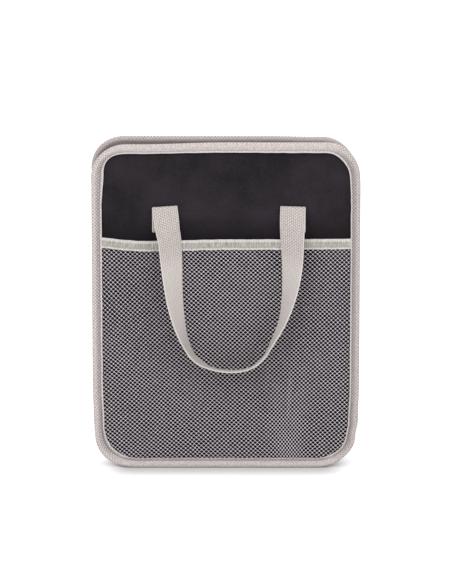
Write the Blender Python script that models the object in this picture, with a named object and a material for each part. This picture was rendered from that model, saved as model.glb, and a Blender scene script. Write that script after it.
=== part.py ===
# Folding car organizer, folded flat: two stiff cloth end walls with bound edges, net pockets
# and webbing handles, with the side walls and the floor folded away between them.
# Lengths are in millimetres until a mesh is written. X runs across the walls, Y through the
# folded pack with the front wall at -Y, Z up. The origin is under the pack's middle.

import math

import bmesh
import bpy
from mathutils import Vector

MM = 0.001
CLEARANCE = 0.3

# End walls
PANEL_WIDTH = 264.2
PANEL_HEIGHT = 332.5
TOP_CORNER = 33.5
BOTTOM_CORNER = 43.0
ARC_STEPS = 10
CLOTH = 0.6
BOARD = 2.5

# Binding tape
TAPE = 0.9
BINDING_WIDTH = 9.8
BINDING_NOSE = 2.3
NOSE_STEPS = 4
STANDING_FLAT = 3.0

# Net pocket
NET = 0.5
NET_RIDGE = 0.4
STRAND_WIDTH = 9.5
MESHES_ACROSS = 7.5
MESHES_UP = 6.5
SMALLEST_MESH = 260.0
POCKET_TOP = 237.5
POCKET_BULGE = 2.4
HEM_HEIGHT = 10.4
HEM = 0.8
HEM_SAG = 3.5
HEM_SAG_AT = 0.175
HEM_LEVEL = 1.55
HEM_LEVEL_AT = 0.505
HEM_STATIONS = 24

# Handles
STRAP_WIDTH = 25.0
STRAP = 1.6
TAB_SPACING = 125.8
TAB_SHIFT = 2.9
TAB_LENGTH = 26.6
TAB_ABOVE_POCKET = 5.1
FOLD_SLACK = 0.9
HANDLE_DROP = 164.1
FOLD_STEPS = 6
ROUTE_STEPS = 4

# The handle hangs by itself. Each point gives its place across, in half tab spacings from the
# middle, its way down, as a share of the drop, and how far the strap has turned edge-on.
HANDLE_ROUTE = (
    (-0.983, 0.060, 6),
    (-0.952, 0.140, 20),
    (-0.923, 0.205, 26),
    (-0.899, 0.325, 32),
    (-0.876, 0.444, 42),
    (-0.843, 0.570, 52),
    (-0.784, 0.695, 64),
    (-0.687, 0.819, 78),
    (-0.530, 0.925, 89),
    (-0.272, 0.986, 100),
    (0.026, 1.005, 102),
    (0.316, 0.988, 102),
    (0.539, 0.921, 96),
    (0.695, 0.814, 89),
    (0.830, 0.701, 79),
    (0.918, 0.577, 64),
    (0.970, 0.451, 48),
    (0.992, 0.321, 34),
    (0.990, 0.197, 22),
    (0.990, 0.120, 13),
    (0.996, 0.060, 4),
)

# Side walls, folded inwards at a centre crease
CREASE_SPACING = 10.8
CREASE_ROOM = 6.7
SIDE_BOTTOM = 3.0
SIDE_BOARD = 2.0
SEAM_WIDTH = 12.0
CREASE_STEPS = 8
SIDE_TAPE = 0.7
SIDE_TAPE_HEIGHT = 10.0
BOARD_INSET = 3.0

# Floor, folded up against the back wall
FLOOR_DEPTH = 245.0
FLOOR_BOARD = 2.5
FLOOR_BOTTOM = 2.0

# The pack's depths, outwards from its mid-plane: the side walls and the floor lie folded in
# its middle, and each end wall is built up outside them.
SIDE_STACK = 2 * CLOTH + 2 * CLEARANCE + SIDE_BOARD
FLOOR_STACK = 2 * CLOTH + 2 * CLEARANCE + FLOOR_BOARD
INSIDE = (2 * SIDE_STACK + CREASE_ROOM + CLEARANCE + FLOOR_STACK) / 2
SEAM_DEPTH = INSIDE - CLOTH / 2
SIDE_FRONT = -INSIDE
FLOOR_FRONT = INSIDE - FLOOR_STACK
SIDE_BACK = FLOOR_FRONT - CLEARANCE

REAR_LEAF_BACK = INSIDE + CLEARANCE
REAR_LEAF_FACE = REAR_LEAF_BACK + TAPE
LINING_BACK = REAR_LEAF_FACE + CLEARANCE
LINING_FACE = LINING_BACK + CLOTH
BOARD_BACK = LINING_FACE + CLEARANCE
BOARD_FACE = BOARD_BACK + BOARD
COVER_BACK = BOARD_FACE + CLEARANCE
COVER_FACE = COVER_BACK + CLOTH
NET_BACK = COVER_FACE + CLEARANCE
NET_FACE = NET_BACK + NET + NET_RIDGE
LEAF_INNER = NET_FACE + CLEARANCE
LEAF_OUTER = LEAF_INNER + TAPE
STACK_INSET = BINDING_NOSE + CLEARANCE

# Heights and places that follow from the sizes above
SIDE_TOP = PANEL_HEIGHT - TOP_CORNER - SIDE_TAPE - CLEARANCE
TAB_TOP = POCKET_TOP + TAB_ABOVE_POCKET + TAB_LENGTH
FOLD_RADIUS = (STRAP + FOLD_SLACK) / 2

MATERIALS = {
    "black_polyester": ((0.030, 0.023, 0.029), 0.85),
    "grey_tape": ((0.560, 0.515, 0.500), 0.80),
    "grey_net": ((0.600, 0.570, 0.580), 0.70),
    "grey_webbing": ((0.640, 0.590, 0.560), 0.75),
    "stiffener_board": ((0.180, 0.180, 0.185), 0.60),
}


# Scene

def clear_scene():
    for thing in list(bpy.data.objects):
        bpy.data.objects.remove(thing, do_unlink=True)


def make_material(name):
    colour, roughness = MATERIALS[name]
    material = bpy.data.materials.new(name)
    material.use_nodes = True
    shader = material.node_tree.nodes["Principled BSDF"]
    shader.inputs["Base Color"].default_value = (*colour, 1.0)
    shader.inputs["Roughness"].default_value = roughness
    shader.inputs["Metallic"].default_value = 0.0
    return material


def add_piece(name, bm, material, parent=None, smooth=None):
    bmesh.ops.recalc_face_normals(bm, faces=bm.faces)
    mesh = bpy.data.meshes.new(name)
    bmesh.ops.scale(bm, vec=(MM, MM, MM), verts=bm.verts)
    bm.to_mesh(mesh)
    bm.free()
    if material:
        mesh.materials.append(material)
    if smooth is not None:
        mesh.shade_smooth()
        mesh.set_sharp_from_angle(angle=math.radians(smooth))
    piece = bpy.data.objects.new(name, mesh)
    piece.parent = parent
    bpy.context.collection.objects.link(piece)
    return piece


def add_wall_frame(name, turn):
    frame = bpy.data.objects.new(name, None)
    frame.rotation_euler = (0.0, 0.0, math.radians(turn))
    bpy.context.collection.objects.link(frame)
    return frame


# Outlines and general forms

def corner_points(centre_x, centre_z, radius, start_angle):
    points = []
    for step in range(ARC_STEPS + 1):
        angle = start_angle + math.pi / 2 * step / ARC_STEPS
        points.append((centre_x + radius * math.cos(angle), centre_z + radius * math.sin(angle)))
    return points


def panel_outline(inset):
    """The end wall's rounded outline in X and Z, moved inwards."""
    half = PANEL_WIDTH / 2
    corners = (
        (half - TOP_CORNER, PANEL_HEIGHT - TOP_CORNER, TOP_CORNER, 0.0),
        (TOP_CORNER - half, PANEL_HEIGHT - TOP_CORNER, TOP_CORNER, math.pi / 2),
        (BOTTOM_CORNER - half, BOTTOM_CORNER, BOTTOM_CORNER, math.pi),
        (half - BOTTOM_CORNER, BOTTOM_CORNER, BOTTOM_CORNER, 3 * math.pi / 2),
    )
    points = []
    for centre_x, centre_z, radius, start in corners:
        points += corner_points(centre_x, centre_z, radius - inset, start)
    return points


def flat_sheet(outline, face, back):
    """A closed sheet of the outline, from the depth face to the depth back."""
    bm = bmesh.new()
    corners = [bm.verts.new((x, -face, z)) for x, z in outline]
    front = bm.faces.new(corners)
    grown = bmesh.ops.extrude_face_region(bm, geom=[front])
    moved = [item for item in grown["geom"] if isinstance(item, bmesh.types.BMVert)]
    bmesh.ops.translate(bm, vec=(0.0, face - back, 0.0), verts=moved)
    return bm


def sweep(sections, closed):
    """Extrudes the first section's loop through the others, and closes or caps the ends."""
    bm = bmesh.new()
    loop = [bm.verts.new(point) for point in sections[0]]
    edges = [bm.edges.new((loop[i - 1], loop[i])) for i in range(len(loop))]
    first_loop, first_edges = loop, edges
    for section in sections[1:]:
        grown = bmesh.ops.extrude_edge_only(bm, edges=edges)
        edges = [item for item in grown["geom"] if isinstance(item, bmesh.types.BMEdge)]
        edges = [edge for edge in edges if not any(vert in loop for vert in edge.verts)]
        loop = next_loop(loop, edges)
        for vert, point in zip(loop, section):
            vert.co = point
    if closed:
        bmesh.ops.weld_verts(bm, targetmap=dict(zip(loop, first_loop)))
    else:
        bmesh.ops.edgeloop_fill(bm, edges=first_edges)
        bmesh.ops.edgeloop_fill(bm, edges=edges)
    return bm


def next_loop(loop, edges):
    """The extruded copies of a loop's vertices, in the loop's own order."""
    new_verts = {vert for edge in edges for vert in edge.verts}
    copies = []
    for vert in loop:
        partners = [edge.other_vert(vert) for edge in vert.link_edges]
        copies.append(next(partner for partner in partners if partner in new_verts))
    return copies


def ribbon_bands(path, thickness):
    """The two long edges of a thin band that follows a path in a plane."""
    left, right = [], []
    for index, (a, b) in enumerate(path):
        before = Vector(path[max(index - 1, 0)])
        after = Vector(path[min(index + 1, len(path) - 1)])
        along = (after - before).normalized()
        left.append((a - along.y * thickness / 2, b + along.x * thickness / 2))
        right.append((a + along.y * thickness / 2, b - along.x * thickness / 2))
    return left, right


def bent_sheet(path, thickness, low, high, place):
    """A thin sheet bent along a path, extruded from low to high; place maps (a, b, c) to XYZ."""
    left, right = ribbon_bands(path, thickness)
    sections = []
    for one, other in zip(left, right):
        sections.append([place(*one, low), place(*other, low), place(*other, high), place(*one, high)])
    return sweep(sections, closed=False)


# End walls

def binding_profile():
    """The tape's section: distance in from the wall's edge, and depth from the mid-plane."""
    middle = (LEAF_OUTER + REAR_LEAF_BACK) / 2
    shoulder = LEAF_OUTER - middle - STANDING_FLAT / 2
    outside = [(BINDING_WIDTH, LEAF_OUTER)]
    for step in range(NOSE_STEPS + 1):
        angle = math.pi / 2 * step / NOSE_STEPS
        inward = BINDING_NOSE * (1 - math.sin(angle))
        outside.append((inward, middle + STANDING_FLAT / 2 + shoulder * math.cos(angle)))
    mirrored = [(inward, 2 * middle - depth) for inward, depth in reversed(outside)]
    channel = [
        (BINDING_WIDTH, REAR_LEAF_FACE),
        (BINDING_NOSE, REAR_LEAF_FACE),
        (BINDING_NOSE, LEAF_INNER),
        (BINDING_WIDTH, LEAF_INNER),
    ]
    return outside + mirrored + channel


def make_binding(side, frame, materials):
    profile = binding_profile()
    rings = [panel_outline(inward) for inward, _ in profile]
    sections = []
    for station in range(len(rings[0])):
        section = []
        for (_, depth), ring in zip(profile, rings):
            x, z = ring[station]
            section.append((x, -depth, z))
        sections.append(section)
    sections.append(sections[0])
    add_piece(f"{side}_binding", sweep(sections, closed=True), materials["grey_tape"], frame, 40)


def make_wall_layers(side, frame, materials):
    outline = panel_outline(STACK_INSET)
    layers = (
        ("cover", COVER_FACE, COVER_BACK, "black_polyester"),
        ("board", BOARD_FACE, BOARD_BACK, "stiffener_board"),
        ("lining", LINING_FACE, LINING_BACK, "black_polyester"),
    )
    for name, face, back, material in layers:
        add_piece(f"{side}_{name}", flat_sheet(outline, face, back), materials[material], frame)


# Net pocket

def pocket_half_width():
    return PANEL_WIDTH / 2 - BINDING_WIDTH - CLEARANCE


def hem_line(x):
    """Height of the pocket's mouth: it drops quickly at the left, then rises to a level run."""
    half = pocket_half_width()
    along = min(max((x + half) / (2 * half), 0.0), 1.0)
    if along < HEM_SAG_AT:
        return POCKET_TOP - HEM_SAG * math.sin(math.pi / 2 * along / HEM_SAG_AT)
    part = min((along - HEM_SAG_AT) / (HEM_LEVEL_AT - HEM_SAG_AT), 1.0)
    ease = part * part * (3 - 2 * part)
    return POCKET_TOP - HEM_SAG + (HEM_SAG - HEM_LEVEL) * ease


def pocket_bulge(x, z):
    """How far the pocket stands off the wall: most at the middle of its mouth."""
    half = pocket_half_width()
    across = max(1.0 - (x / half) ** 2, 0.0)
    up = min(max(z / POCKET_TOP, 0.0), 1.0)
    return POCKET_BULGE * across ** 1.5 * up ** 3


def pocket_outline():
    half = PANEL_WIDTH / 2 - STACK_INSET
    top = POCKET_TOP - HEM - CLEARANCE - HEM_SAG
    bottom = [(x, z) for x, z in panel_outline(STACK_INSET) if z <= BOTTOM_CORNER + CLEARANCE]
    return [(half, top), (-half, top)] + bottom


def net_lines():
    """The net's slanting thread lines, as a point on each and its direction's normal."""
    pitch_x = (PANEL_WIDTH - 2 * BINDING_WIDTH) / MESHES_ACROSS
    pitch_z = (POCKET_TOP - HEM_HEIGHT - BINDING_WIDTH) / MESHES_UP
    lines = []
    for way in (1, -1):
        normal = Vector((pitch_z, 0.0, way * pitch_x)).normalized()
        count = math.ceil(MESHES_ACROSS + MESHES_UP) + 2
        for index in range(-count, count + 1):
            point = Vector(((index + 0.5) * pitch_x, 0.0, BINDING_WIDTH))
            lines.append((point, normal))
    return lines


def make_net(side, frame, materials):
    bm = bmesh.new()
    bm.faces.new([bm.verts.new((x, 0.0, z)) for x, z in pocket_outline()])
    for point, normal in net_lines():
        everything = bm.verts[:] + bm.edges[:] + bm.faces[:]
        bmesh.ops.bisect_plane(bm, geom=everything, plane_co=point, plane_no=normal, dist=0.01)
    ridge = {vert for vert in bm.verts if not vert.is_boundary}
    meshes = [face for face in bm.faces if face.calc_area() > SMALLEST_MESH]
    bmesh.ops.inset_individual(bm, faces=meshes, thickness=STRAND_WIDTH / 2, use_even_offset=True)
    bmesh.ops.delete(bm, geom=meshes, context="FACES")
    for vert in bm.verts:
        rise = NET_RIDGE if vert in ridge else 0.0
        vert.co.y = -(NET_BACK + NET + rise + pocket_bulge(vert.co.x, vert.co.z))
    grown = bmesh.ops.extrude_face_region(bm, geom=bm.faces[:])
    moved = [item for item in grown["geom"] if isinstance(item, bmesh.types.BMVert)]
    bmesh.ops.translate(bm, vec=(0.0, NET, 0.0), verts=moved)
    add_piece(f"{side}_pocket_net", bm, materials["grey_net"], frame)


def make_hem(side, frame, materials):
    """Tape folded over the net's top edge, between the two side bindings."""
    half = pocket_half_width()
    sections = []
    for station in range(HEM_STATIONS + 1):
        x = -half + 2 * half * station / HEM_STATIONS
        top = hem_line(x)
        inner = NET_FACE + CLEARANCE + pocket_bulge(x, top)
        outer = inner + HEM
        back = inner - CLEARANCE - NET - NET_RIDGE
        lid = POCKET_TOP - HEM_SAG - HEM
        depths = (
            (inner, top - HEM_HEIGHT),
            (outer, top - HEM_HEIGHT),
            (outer, top - HEM / 2),
            (outer - HEM / 2, top),
            (back, top),
            (back, lid),
            (inner, lid),
        )
        sections.append([(x, -depth, z) for depth, z in depths])
    add_piece(f"{side}_pocket_hem", sweep(sections, closed=False), materials["grey_tape"], frame, 40)


# Handle

def smooth_route(points, steps):
    """A Catmull-Rom curve through the points, all of whose values run smoothly."""
    padded = [points[0]] + list(points) + [points[-1]]
    route = []
    for index in range(1, len(padded) - 2):
        for step in range(steps):
            route.append(blend(padded[index - 1:index + 3], step / steps))
    route.append(tuple(points[-1]))
    return route


def blend(four, t):
    values = []
    for p0, p1, p2, p3 in zip(*four):
        values.append(0.5 * (2 * p1 + (p2 - p0) * t + (2 * p0 - 5 * p1 + 4 * p2 - p3) * t ** 2
                             + (3 * p1 - p0 - 3 * p2 + p3) * t ** 3))
    return tuple(values)


def tab_stations(across):
    """From a sewn end up the cover and over its fold: centre points, width along X."""
    sewn = COVER_FACE + CLEARANCE + STRAP / 2
    fold_z = TAB_TOP - STRAP / 2 - FOLD_RADIUS
    stations = [Vector((across, -sewn, TAB_TOP - TAB_LENGTH))]
    for step in range(FOLD_STEPS + 1):
        angle = math.pi * step / FOLD_STEPS
        depth = sewn + FOLD_RADIUS * (1 - math.cos(angle))
        stations.append(Vector((across, -depth, fold_z + FOLD_RADIUS * math.sin(angle))))
    return stations


def hanging_stations():
    """The U between the folds: its inner edge stays near the net, its outer edge comes forward."""
    half = TAB_SPACING / 2
    at_fold = COVER_FACE + CLEARANCE + STRAP / 2 + 2 * FOLD_RADIUS
    centres, turns = [], []
    for across, down, turn in smooth_route(HANDLE_ROUTE, ROUTE_STEPS):
        height = TAB_TOP - down * HANDLE_DROP
        clear = NET_FACE + pocket_bulge(0.0, height) + HEM + 2 * CLEARANCE + STRAP / 2
        settled = min(down / HANDLE_ROUTE[1][1], 1.0)
        depth = at_fold + (clear - at_fold) * settled + STRAP_WIDTH / 2 * math.sin(math.radians(turn))
        centres.append(Vector((TAB_SHIFT + across * half, -depth, height)))
        turns.append(math.radians(turn))
    return centres, turns


def width_ways(centres, turns):
    """At each centre, the unit way from the strap's middle to its outer edge."""
    ways = []
    for index, turn in enumerate(turns):
        before = centres[max(index - 1, 0)]
        after = centres[min(index + 1, len(centres) - 1)]
        along = after - before
        outside = Vector((along.z, 0.0, -along.x)).normalized()
        ways.append((outside * math.cos(turn) + Vector((0.0, -1.0, 0.0)) * math.sin(turn)).normalized())
    return ways


def strap_section(centre, way, along):
    """The webbing's section, thinner along its two woven edges."""
    normal = way.cross(along).normalized()
    half, edge, thick = STRAP_WIDTH / 2, STRAP_WIDTH / 2 - STRAP / 2, STRAP / 2
    corners = (
        (-edge, thick), (0.0, thick), (edge, thick), (half, 0.0),
        (edge, -thick), (0.0, -thick), (-edge, -thick), (-half, 0.0),
    )
    return [centre + way * a + normal * b for a, b in corners]


def make_handle(side, frame, materials):
    half = TAB_SPACING / 2
    left_tab = tab_stations(TAB_SHIFT - half)
    right_tab = tab_stations(TAB_SHIFT + half)
    hanging, turns = hanging_stations()
    centres = left_tab + hanging + right_tab[::-1]
    left_way = [Vector((-1.0, 0.0, 0.0))] * len(left_tab)
    right_way = [Vector((1.0, 0.0, 0.0))] * len(right_tab)
    ways = left_way + width_ways(hanging, turns) + right_way
    sections = []
    for index, (centre, way) in enumerate(zip(centres, ways)):
        before = centres[max(index - 1, 0)]
        after = centres[min(index + 1, len(centres) - 1)]
        sections.append(strap_section(centre, way, after - before))
    add_piece(f"{side}_handle", sweep(sections, closed=False), materials["grey_webbing"], frame, 50)


# Side walls

def folded_wall_path(crease, front, back, edge, seam):
    """A side wall's path in X and Y, for the right side: out along the front, round, and back.

    With a seam the two outer ends flare to the end walls' bindings."""
    radius = (back - front) / 2
    middle = (back + front) / 2
    path = []
    if seam:
        for step in range(CREASE_STEPS + 1):
            part = step / CREASE_STEPS
            ease = part * part * (3 - 2 * part)
            path.append((seam - SEAM_WIDTH * part, -SEAM_DEPTH + (front + SEAM_DEPTH) * ease))
    else:
        path.append((edge, front))
    for step in range(CREASE_STEPS + 1):
        angle = -math.pi / 2 - math.pi * step / CREASE_STEPS
        path.append((crease + radius + radius * math.cos(angle), middle + radius * math.sin(angle)))
    if seam:
        for step in range(CREASE_STEPS, -1, -1):
            part = step / CREASE_STEPS
            ease = part * part * (3 - 2 * part)
            path.append((seam - SEAM_WIDTH * part, SEAM_DEPTH + (back - SEAM_DEPTH) * ease))
    else:
        path.append((edge, back))
    return path


def side_stack():
    """Mid-depths of a side wall's front and back layers, by name."""
    lining = CLOTH / 2
    board = CLOTH + CLEARANCE + SIDE_BOARD / 2
    cover = SIDE_STACK - CLOTH / 2
    return {"lining": lining, "board": board, "cover": cover}


def round_lower_corner(piece, trimmer):
    """The side walls follow the end walls' rounded foot."""
    cut = piece.modifiers.new("rounded_foot", "BOOLEAN")
    cut.operation = "INTERSECT"
    cut.solver = "EXACT"
    cut.object = trimmer


def make_trimmer():
    bm = flat_sheet(panel_outline(BINDING_NOSE), LEAF_OUTER, -LEAF_OUTER)
    trimmer = add_piece("end_wall_outline", bm, None)
    trimmer.hide_render = True
    trimmer.display_type = "WIRE"
    return trimmer


def make_side_wall(side, sign, trimmer, materials):
    seam = PANEL_WIDTH / 2 - STACK_INSET
    crease = CREASE_SPACING / 2
    edge = seam - SEAM_WIDTH - CLEARANCE
    stack = side_stack()

    def upright(x, y, z):
        return (sign * x, y, z)

    for name, outer_edge, flare in (("lining", edge, None), ("cover", None, seam)):
        inset = stack[name]
        path = folded_wall_path(crease + inset, SIDE_FRONT + inset, SIDE_BACK - inset, outer_edge, flare)
        sheet = bent_sheet(path, CLOTH, SIDE_BOTTOM, SIDE_TOP, upright)
        piece = add_piece(f"{side}_wall_{name}", sheet, materials["black_polyester"], None, 50)
        round_lower_corner(piece, trimmer)
    board_crease = crease + (SIDE_BACK - SIDE_FRONT) / 2 + BOARD_INSET
    for half, depth in (("front", SIDE_FRONT + stack["board"]), ("back", SIDE_BACK - stack["board"])):
        path = [(edge - BOARD_INSET, depth), (board_crease, depth)]
        board = bent_sheet(path, SIDE_BOARD, SIDE_BOTTOM + BOARD_INSET, SIDE_TOP - BOARD_INSET, upright)
        piece = add_piece(f"{side}_wall_board_{half}", board, materials["stiffener_board"])
        round_lower_corner(piece, trimmer)
    add_piece(f"{side}_wall_tape", side_tape(crease, edge, upright), materials["grey_tape"], None, 50)


def side_tape(crease, edge, upright):
    """Tape folded over the side wall's top edge, following its crease."""
    middle = SIDE_STACK / 2
    outer_half = middle + CLEARANCE + SIDE_TAPE
    inner_half = middle + CLEARANCE
    path = folded_wall_path(crease + middle, SIDE_FRONT + middle, SIDE_BACK - middle, edge, None)
    top = SIDE_TOP + CLEARANCE + SIDE_TAPE
    low = SIDE_TOP - SIDE_TAPE_HEIGHT
    ceiling = SIDE_TOP + CLEARANCE
    outer_left, outer_right = ribbon_bands(path, 2 * outer_half)
    inner_left, inner_right = ribbon_bands(path, 2 * inner_half)
    sections = []
    for a, b, c, d in zip(outer_left, inner_left, inner_right, outer_right):
        sections.append([
            upright(*a, low), upright(*a, top), upright(*d, top), upright(*d, low),
            upright(*c, low), upright(*c, ceiling), upright(*b, ceiling), upright(*b, low),
        ])
    return sweep(sections, closed=False)


# Floor

def make_floor(materials):
    """A stiffener in a cloth sleeve, hinged at the back wall's foot and folded up against it."""
    half = PANEL_WIDTH / 2 - BOTTOM_CORNER
    front = FLOOR_FRONT + CLOTH / 2
    back = INSIDE - CLOTH / 2
    radius = (back - front) / 2
    path = [(front, FLOOR_BOTTOM)]
    for step in range(CREASE_STEPS + 1):
        angle = math.pi - math.pi * step / CREASE_STEPS
        top = FLOOR_BOTTOM + FLOOR_DEPTH - radius
        path.append(((front + back) / 2 + radius * math.cos(angle), top + radius * math.sin(angle)))
    path.append((back, FLOOR_BOTTOM))

    def across(y, z, x):
        return (x, y, z)

    sleeve = bent_sheet(path, CLOTH, -half, half, across)
    add_piece("base_fabric", sleeve, materials["black_polyester"], None, 50)
    middle = (front + back) / 2
    foot = FLOOR_BOTTOM + BOARD_INSET
    path = [(middle, foot), (middle, foot + FLOOR_DEPTH - 3 * BOARD_INSET)]
    board = bent_sheet(path, FLOOR_BOARD, BOARD_INSET - half, half - BOARD_INSET, across)
    add_piece("base_board", board, materials["stiffener_board"])


def main():
    clear_scene()
    materials = {name: make_material(name) for name in MATERIALS}
    for side, turn in (("front", 0.0), ("back", 180.0)):
        frame = add_wall_frame(f"{side}_wall_frame", turn)
        make_wall_layers(side, frame, materials)
        make_binding(side, frame, materials)
        make_net(side, frame, materials)
        make_hem(side, frame, materials)
        make_handle(side, frame, materials)
    trimmer = make_trimmer()
    for side, sign in (("left", -1), ("right", 1)):
        make_side_wall(side, sign, trimmer, materials)
    make_floor(materials)


main()
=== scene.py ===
import math

import bmesh
import bpy
from mathutils import Matrix, Vector, noise


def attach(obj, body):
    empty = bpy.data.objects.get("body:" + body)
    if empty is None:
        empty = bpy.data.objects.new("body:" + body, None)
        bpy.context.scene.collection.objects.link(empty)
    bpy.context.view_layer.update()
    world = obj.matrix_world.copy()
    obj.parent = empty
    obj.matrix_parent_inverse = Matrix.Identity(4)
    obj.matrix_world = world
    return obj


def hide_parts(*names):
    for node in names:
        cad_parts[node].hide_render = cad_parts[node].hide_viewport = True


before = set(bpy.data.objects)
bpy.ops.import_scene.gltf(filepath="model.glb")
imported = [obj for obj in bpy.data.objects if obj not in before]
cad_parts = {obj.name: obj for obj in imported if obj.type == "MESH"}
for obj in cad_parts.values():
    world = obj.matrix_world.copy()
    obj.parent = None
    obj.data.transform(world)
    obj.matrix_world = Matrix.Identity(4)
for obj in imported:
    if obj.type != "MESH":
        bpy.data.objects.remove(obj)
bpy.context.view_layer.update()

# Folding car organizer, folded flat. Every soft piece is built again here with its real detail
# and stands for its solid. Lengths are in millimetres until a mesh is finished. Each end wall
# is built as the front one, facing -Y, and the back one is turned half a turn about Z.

MM = 0.001
BODY = "root"
WALL_TURNS = {"front": 0.0, "back": math.pi}

# The solids' sizes
CLEARANCE = 0.3
PANEL_WIDTH = 264.2
PANEL_HEIGHT = 332.5
TOP_CORNER = 33.5
BOTTOM_CORNER = 43.0
CLOTH = 0.6
BOARD = 2.5
TAPE = 0.9
NET = 0.9
BINDING_WIDTH = 9.8
BINDING_NOSE = 2.3
STACK_INSET = BINDING_NOSE + CLEARANCE
POCKET_TOP = 237.5
POCKET_BULGE = 2.4
HEM = 0.8
HEM_HEIGHT = 10.4
HEM_SAG = 3.5
HEM_SAG_AT = 0.175
HEM_LEVEL = 1.55
HEM_LEVEL_AT = 0.505
STRAP_WIDTH = 25.0
STRAP = 1.6
TAB_SPACING = 125.8
TAB_SHIFT = 2.9
TAB_LENGTH = 26.6
TAB_ABOVE_POCKET = 5.1
TAB_TOP = POCKET_TOP + TAB_ABOVE_POCKET + TAB_LENGTH
FOLD_SLACK = 0.9
FOLD_RADIUS = (STRAP + FOLD_SLACK) / 2
HANDLE_DROP = 164.1
CREASE_SPACING = 10.8
SIDE_BOARD = 2.0
SIDE_BOTTOM = 3.0
SEAM_WIDTH = 12.0
SIDE_TAPE = 0.7
SIDE_TAPE_HEIGHT = 10.0
SIDE_TOP = PANEL_HEIGHT - TOP_CORNER - SIDE_TAPE - CLEARANCE
FLOOR_DEPTH = 245.0
FLOOR_BOTTOM = 2.0

# The layers, outwards from the middle of the pack: the folded side walls and the floor lie
# inside, and each end wall is lining, board, cover and net, clamped by the binding's leaves
INSIDE = 9.45
SEAM_DEPTH = INSIDE - CLOTH / 2
SIDE_STACK = 2 * CLOTH + 2 * CLEARANCE + SIDE_BOARD
FLOOR_FRONT = INSIDE - 2 * CLOTH - 2 * CLEARANCE - BOARD
SIDE_BACK = FLOOR_FRONT - CLEARANCE
REAR_LEAF_BACK = INSIDE + CLEARANCE
REAR_LEAF_FACE = REAR_LEAF_BACK + TAPE
LINING_DEPTH = REAR_LEAF_FACE + CLEARANCE + CLOTH / 2
BOARD_BACK = LINING_DEPTH + CLOTH / 2 + CLEARANCE
BOARD_FACE = BOARD_BACK + BOARD
COVER_DEPTH = BOARD_FACE + CLEARANCE + CLOTH / 2
COVER_FACE = COVER_DEPTH + CLOTH / 2
NET_BACK = COVER_FACE + CLEARANCE
NET_FACE = NET_BACK + NET
LEAF_INNER = NET_FACE + CLEARANCE
LEAF_OUTER = LEAF_INNER + TAPE

# The handle's route: place across in half tab spacings, share of the drop, turn in degrees
HANDLE_ROUTE = (
    (-0.983, 0.060, 6),
    (-0.952, 0.140, 20),
    (-0.923, 0.205, 26),
    (-0.899, 0.325, 32),
    (-0.876, 0.444, 42),
    (-0.843, 0.570, 52),
    (-0.784, 0.695, 64),
    (-0.687, 0.819, 78),
    (-0.530, 0.925, 89),
    (-0.272, 0.986, 100),
    (0.026, 1.005, 102),
    (0.316, 0.988, 102),
    (0.539, 0.921, 96),
    (0.695, 0.814, 89),
    (0.830, 0.701, 79),
    (0.918, 0.577, 64),
    (0.970, 0.451, 48),
    (0.992, 0.321, 34),
    (0.990, 0.197, 22),
    (0.990, 0.120, 13),
    (0.996, 0.060, 4),
)

# Sizes that only the looks need
CLOTH_SPACING = 9.0
CLOTH_SHOWN = 0.45
CLOTH_WAVES = {"cover": 1.5, "lining": 8.5}
BINDING_STEP = 3.5
CORNER_STEPS = 20
GROOVE_INWARD = 7.4
BINDING_STITCH = 3.1
HEM_STEP = 0.8
HEM_RIB = 2.4
HEM_STITCH = 2.9
TAB_TILTS = (0.07, -0.035)

# The net: its meshes, the yarn's width and half its thickness, how far each knot is cut back, how
# much wider and lower the holes then get, and the seed of the rows' drift
MESH_WIDTH = 4.47
MESH_HEIGHT = 4.22
STRAND = 0.36
YARN = 0.26
KNOT_REACH = 0.74
HOLE_STRETCH = (1.1, 0.95)
NET_SEED = 3

# How wide the binding's leaf is on each side, what a corner adds in its middle, how much more the
# sides have just below the top corners, and how far in from the nose it keeps its shape
LEAF_LEFT = 10.0
LEAF_RIGHT = 9.3
LEAF_TOP = 9.0
LEAF_TOP_GROWTH = 0.45
LEAF_FOOT = 10.5
LEAF_LEFT_FOOT = 4.8
LEAF_LEFT_TOP = -7.6
LEAF_RIGHT_TOP = 3.2
LEAF_LEFT_RISE = 2.2
LEAF_RIGHT_RISE = 0.9
LEAF_FIXED = 3.6

# Creases in the net: foot and head in X and Z, width, and how far each pulls the knots in
CREASES = (((62.0, 52.0), (63.5, 101.0), 4.0, 0.8), ((-32.5, 17.0), (-45.0, 41.0), 4.0, 0.9))

# The floor's painted glow: half the pack's foot in metres, and how far beyond it the glow has risen to hide
# the shadow
FOOTPRINT = (0.095, 0.018, 0.0)
SHADOW_REACH = 31.0

# Lamps: place in metres, size and watts
LAMPS = {
    "key_light": ((-1.7, -2.6, 2.9), 3.0, 42.0),
    "fill_light": ((2.2, -2.4, 1.6), 3.0, 24.0),
    "back_light": ((0.6, 2.6, 2.2), 1.8, 22.0),
}


# Materials

def to_linear(code):
    """sRGB hex to a linear colour with full alpha."""
    channels = []
    for start in (1, 3, 5):
        value = int(code[start:start + 2], 16) / 255
        channels.append(value / 12.92 if value <= 0.04045 else ((value + 0.055) / 1.055) ** 2.4)
    return (*channels, 1.0)


def new_tree(name):
    material = bpy.data.materials.new(name)
    material.use_nodes = True
    material.node_tree.nodes.clear()
    return material, material.node_tree


def in_use(sockets):
    """The sockets that a node's settings leave on, in their order."""
    return [socket for socket in sockets if socket.enabled]


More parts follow.
